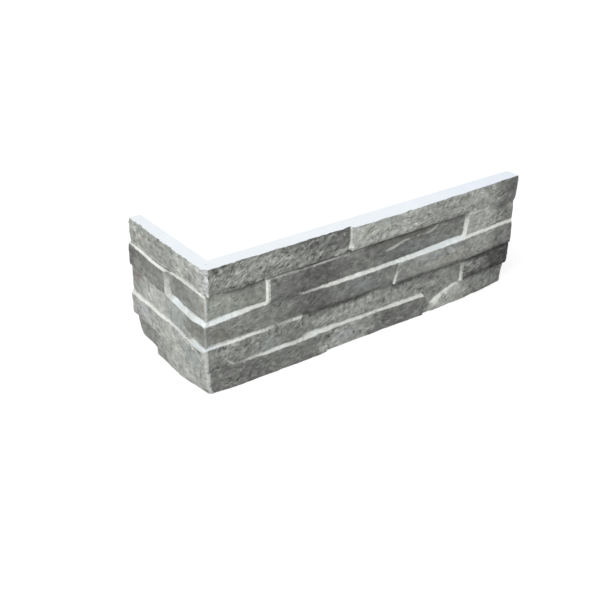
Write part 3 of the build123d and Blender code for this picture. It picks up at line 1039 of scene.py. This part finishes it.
def printed_stone():
    """The printed and glazed split face, with bare stoneware where the print didn't reach."""
    recipe = Recipe(bpy.data.materials.new("printed_split_stone"))
    place = recipe.place()
    areas = recipe.range(recipe.noise(place, AREA_SIZE, 2.0), 0.42, 0.6, 0.6, 1.35)
    contrast = recipe.attribute("contrast") * areas
    grain = recipe.noise(place, GRAIN_SIZE, 3.0, 0.6)
    cloud = recipe.noise(place, CLOUD_SIZE, 4.0, 0.6)

    bend = recipe.noise(place, BEND_SIZE, 2.0, 0.5, output="Color")
    along_layers = recipe.node("ShaderNodeUVMap", {"uv_map": "grain"})
    along_layers = recipe.node("ShaderNodeVectorMath", {"operation": "MULTIPLY_ADD"},
                               {0: bend, 1: BEND, 2: along_layers})
    strokes = recipe.noise(recipe.drawn_out(along_layers, 4.0, 3.2), STROKE_SIZE, 4.0, 0.7)
    lines = recipe.noise(recipe.drawn_out(along_layers, -6.0, 4.0), LINE_SIZE, 4.0, 0.6)
    lines = recipe.range(abs(lines - 0.5), 0.045, 0.0)
    splits = recipe.noise(recipe.drawn_out(along_layers, 10.0, 3.0), SPLIT_SIZE, 4.0, 0.6)
    splits = recipe.range(abs(splits - 0.5), 0.03, 0.0)

    uneven = (strokes - 0.5) * 3.0 + (cloud - 0.5) * 1.5 + (grain - 0.5) * 1.2 - splits * 0.25
    # The relief's height lightens the colour on raised parts and darkens it in hollows: painted light
    # and shade
    shade = 1.03 + uneven * contrast + recipe.attribute("relief_shading") * 0.2
    stone = recipe.scale(recipe.attribute("stone_paint", "Color"), shade)

    veins = (recipe.range(strokes, 0.54, 0.66) * 0.7 + lines * 0.6) * recipe.attribute("streaks")
    crack = recipe.attribute("crack_field") + (grain - 0.5) * 0.6 + (strokes - 0.5) * 0.9
    pale = recipe.range(veins * areas + recipe.range(crack, 0.15, 0.5), 0.0, 1.1, 0.0, 0.85)
    stone = recipe.mix(pale, stone, CRYSTAL_WHITE)

    chips = (recipe.noise(place, RIM_CHIP_SIZE, 3.0) - 0.5) * 2.2
    bare = recipe.range(recipe.attribute("bare_field") + chips, -0.8, 0.8)
    worn = recipe.attribute("bareness") + (cloud - 0.5) * 0.9 + (grain - 0.5) * 0.3
    bare = bare * recipe.range(worn, 0.1, 1.0)
    white = recipe.scale(recipe.attribute("bare_paint", "Color"), 1.0 + (strokes - 0.5) * 0.35)
    colour = recipe.mix(bare, stone, white)

    height = strokes * 1.3 + cloud * 0.8 + grain * 0.4 + lines * 0.2 - splits * 0.3
    normal = recipe.bump(height, GRAIN_DEPTH, 0.9)
    roughness = 0.55 + (cloud - 0.5) * 0.2 + bare * 0.15
    return recipe.finish({"Base Color": colour, "Roughness": roughness, "Normal": normal,
                          "Specular IOR Level": 0.3})


FIRED_BODY = (0.855, 0.905, 0.945, 1.0)
FIRED_BODY_CLOUD = (0.875, 0.92, 0.955, 1.0)
FIRED_BODY_FAR = (0.815, 0.872, 0.945, 1.0)      # towards the long leg's end
FAR_REACH = (220.0 * MM, 420.0 * MM)             # between which the body turns to that colour
BODY_CLOUD_SIZE = 18.0 * MM
PIT_PLACE = (-5.65 * MM, -6.94 * MM, HEIGHT * MM)
PIT_REACH = 1.1 * MM


def bare_stoneware():
    """The pale fired body, seen on the flat top, foot, ends and back."""
    recipe = Recipe(bpy.data.materials.new("bare_stoneware"))
    place = recipe.place()
    grain = recipe.noise(place, GRAIN_SIZE, 2.0)
    cloud = recipe.noise(place, BODY_CLOUD_SIZE, 3.0)
    shade = 1.0 + (grain - 0.5) * 0.08 + (cloud - 0.5) * 0.06
    across = recipe.node("ShaderNodeSeparateXYZ", {}, {0: place})
    body = recipe.mix(cloud, FIRED_BODY, FIRED_BODY_CLOUD)
    body = recipe.mix(recipe.range(across, *FAR_REACH), body, FIRED_BODY_FAR)
    from_pit = recipe.node("ShaderNodeVectorMath", {"operation": "DISTANCE"},
                           {0: place, 1: PIT_PLACE}, output="Value")
    colour = recipe.scale(body, shade * recipe.range(from_pit, 0.0, PIT_REACH, 0.35, 1.0))
    normal = recipe.bump(grain, 0.15 * MM, 0.5)
    return recipe.finish({"Base Color": colour, "Roughness": 0.7 + (cloud - 0.5) * 0.1,
                          "Normal": normal, "Specular IOR Level": 0.3})


# Light and floor
WHITE = (1.0, 1.0, 1.0, 1.0)
WORLD_LIGHT = 0.55
KEY_STRENGTH = 2.15
KEY_SPREAD = 30.0               # in degrees
KEY_FROM = (-1.0, -0.42, 0.95)


def light_scene():
    world = bpy.data.worlds.new("studio")
    bpy.context.scene.world = world
    recipe = Recipe(world)
    dim = recipe.node("ShaderNodeBackground", {}, {"Color": WHITE, "Strength": WORLD_LIGHT})
    white = recipe.node("ShaderNodeBackground", {}, {"Color": WHITE, "Strength": 1.0})
    seen = recipe.node("ShaderNodeLightPath", output="Is Camera Ray")
    surface = recipe.node("ShaderNodeMixShader", {}, {0: seen, 1: dim, 2: white})
    recipe.node("ShaderNodeOutputWorld", {}, {"Surface": surface})
    data = bpy.data.lights.new("key", "SUN")
    data.energy = KEY_STRENGTH
    data.angle = math.radians(KEY_SPREAD)
    key = bpy.data.objects.new("key", data)
    key.rotation_euler = Vector(KEY_FROM).to_track_quat("Z", "Y").to_euler()
    bpy.context.scene.collection.objects.link(key)


FLOOR_REACH = 20.0              # half its width, in metres
FLOOR_GREY = (0.8, 0.8, 0.8, 1.0)
FLOOR_WHITE = 1.25              # strength of the plain white that the camera sees in it
FLOOR_SHOWS_WHITE = 0.6         # and that white's share


def lay_floor():
    floor_mesh = bmesh.new()
    bmesh.ops.create_grid(floor_mesh, x_segments=1, y_segments=1, size=FLOOR_REACH)
    mesh = bpy.data.meshes.new("floor")
    floor_mesh.to_mesh(mesh)
    floor_mesh.free()
    floor = bpy.data.objects.new("floor", mesh)
    bpy.context.scene.collection.objects.link(floor)
    recipe = Recipe(bpy.data.materials.new("pale_floor"))
    matte = recipe.node("ShaderNodeBsdfDiffuse", {}, {"Color": FLOOR_GREY})
    white = recipe.node("ShaderNodeEmission", {}, {"Strength": FLOOR_WHITE})
    seen = recipe.node("ShaderNodeLightPath", output="Is Camera Ray") * FLOOR_SHOWS_WHITE
    surface = recipe.node("ShaderNodeMixShader", {}, {0: seen, 1: matte, 2: white})
    recipe.node("ShaderNodeOutputMaterial", {}, {"Surface": surface})
    mesh.materials.append(recipe.owner)


set_up_camera()
bpy.context.scene.view_settings.view_transform = "Standard"
light_scene()
lay_floor()

corner = split_corner_piece()
corner.data.materials.append(printed_stone())
corner.data.materials.append(bare_stoneware())
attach(corner, "root")
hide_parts("corner_piece")
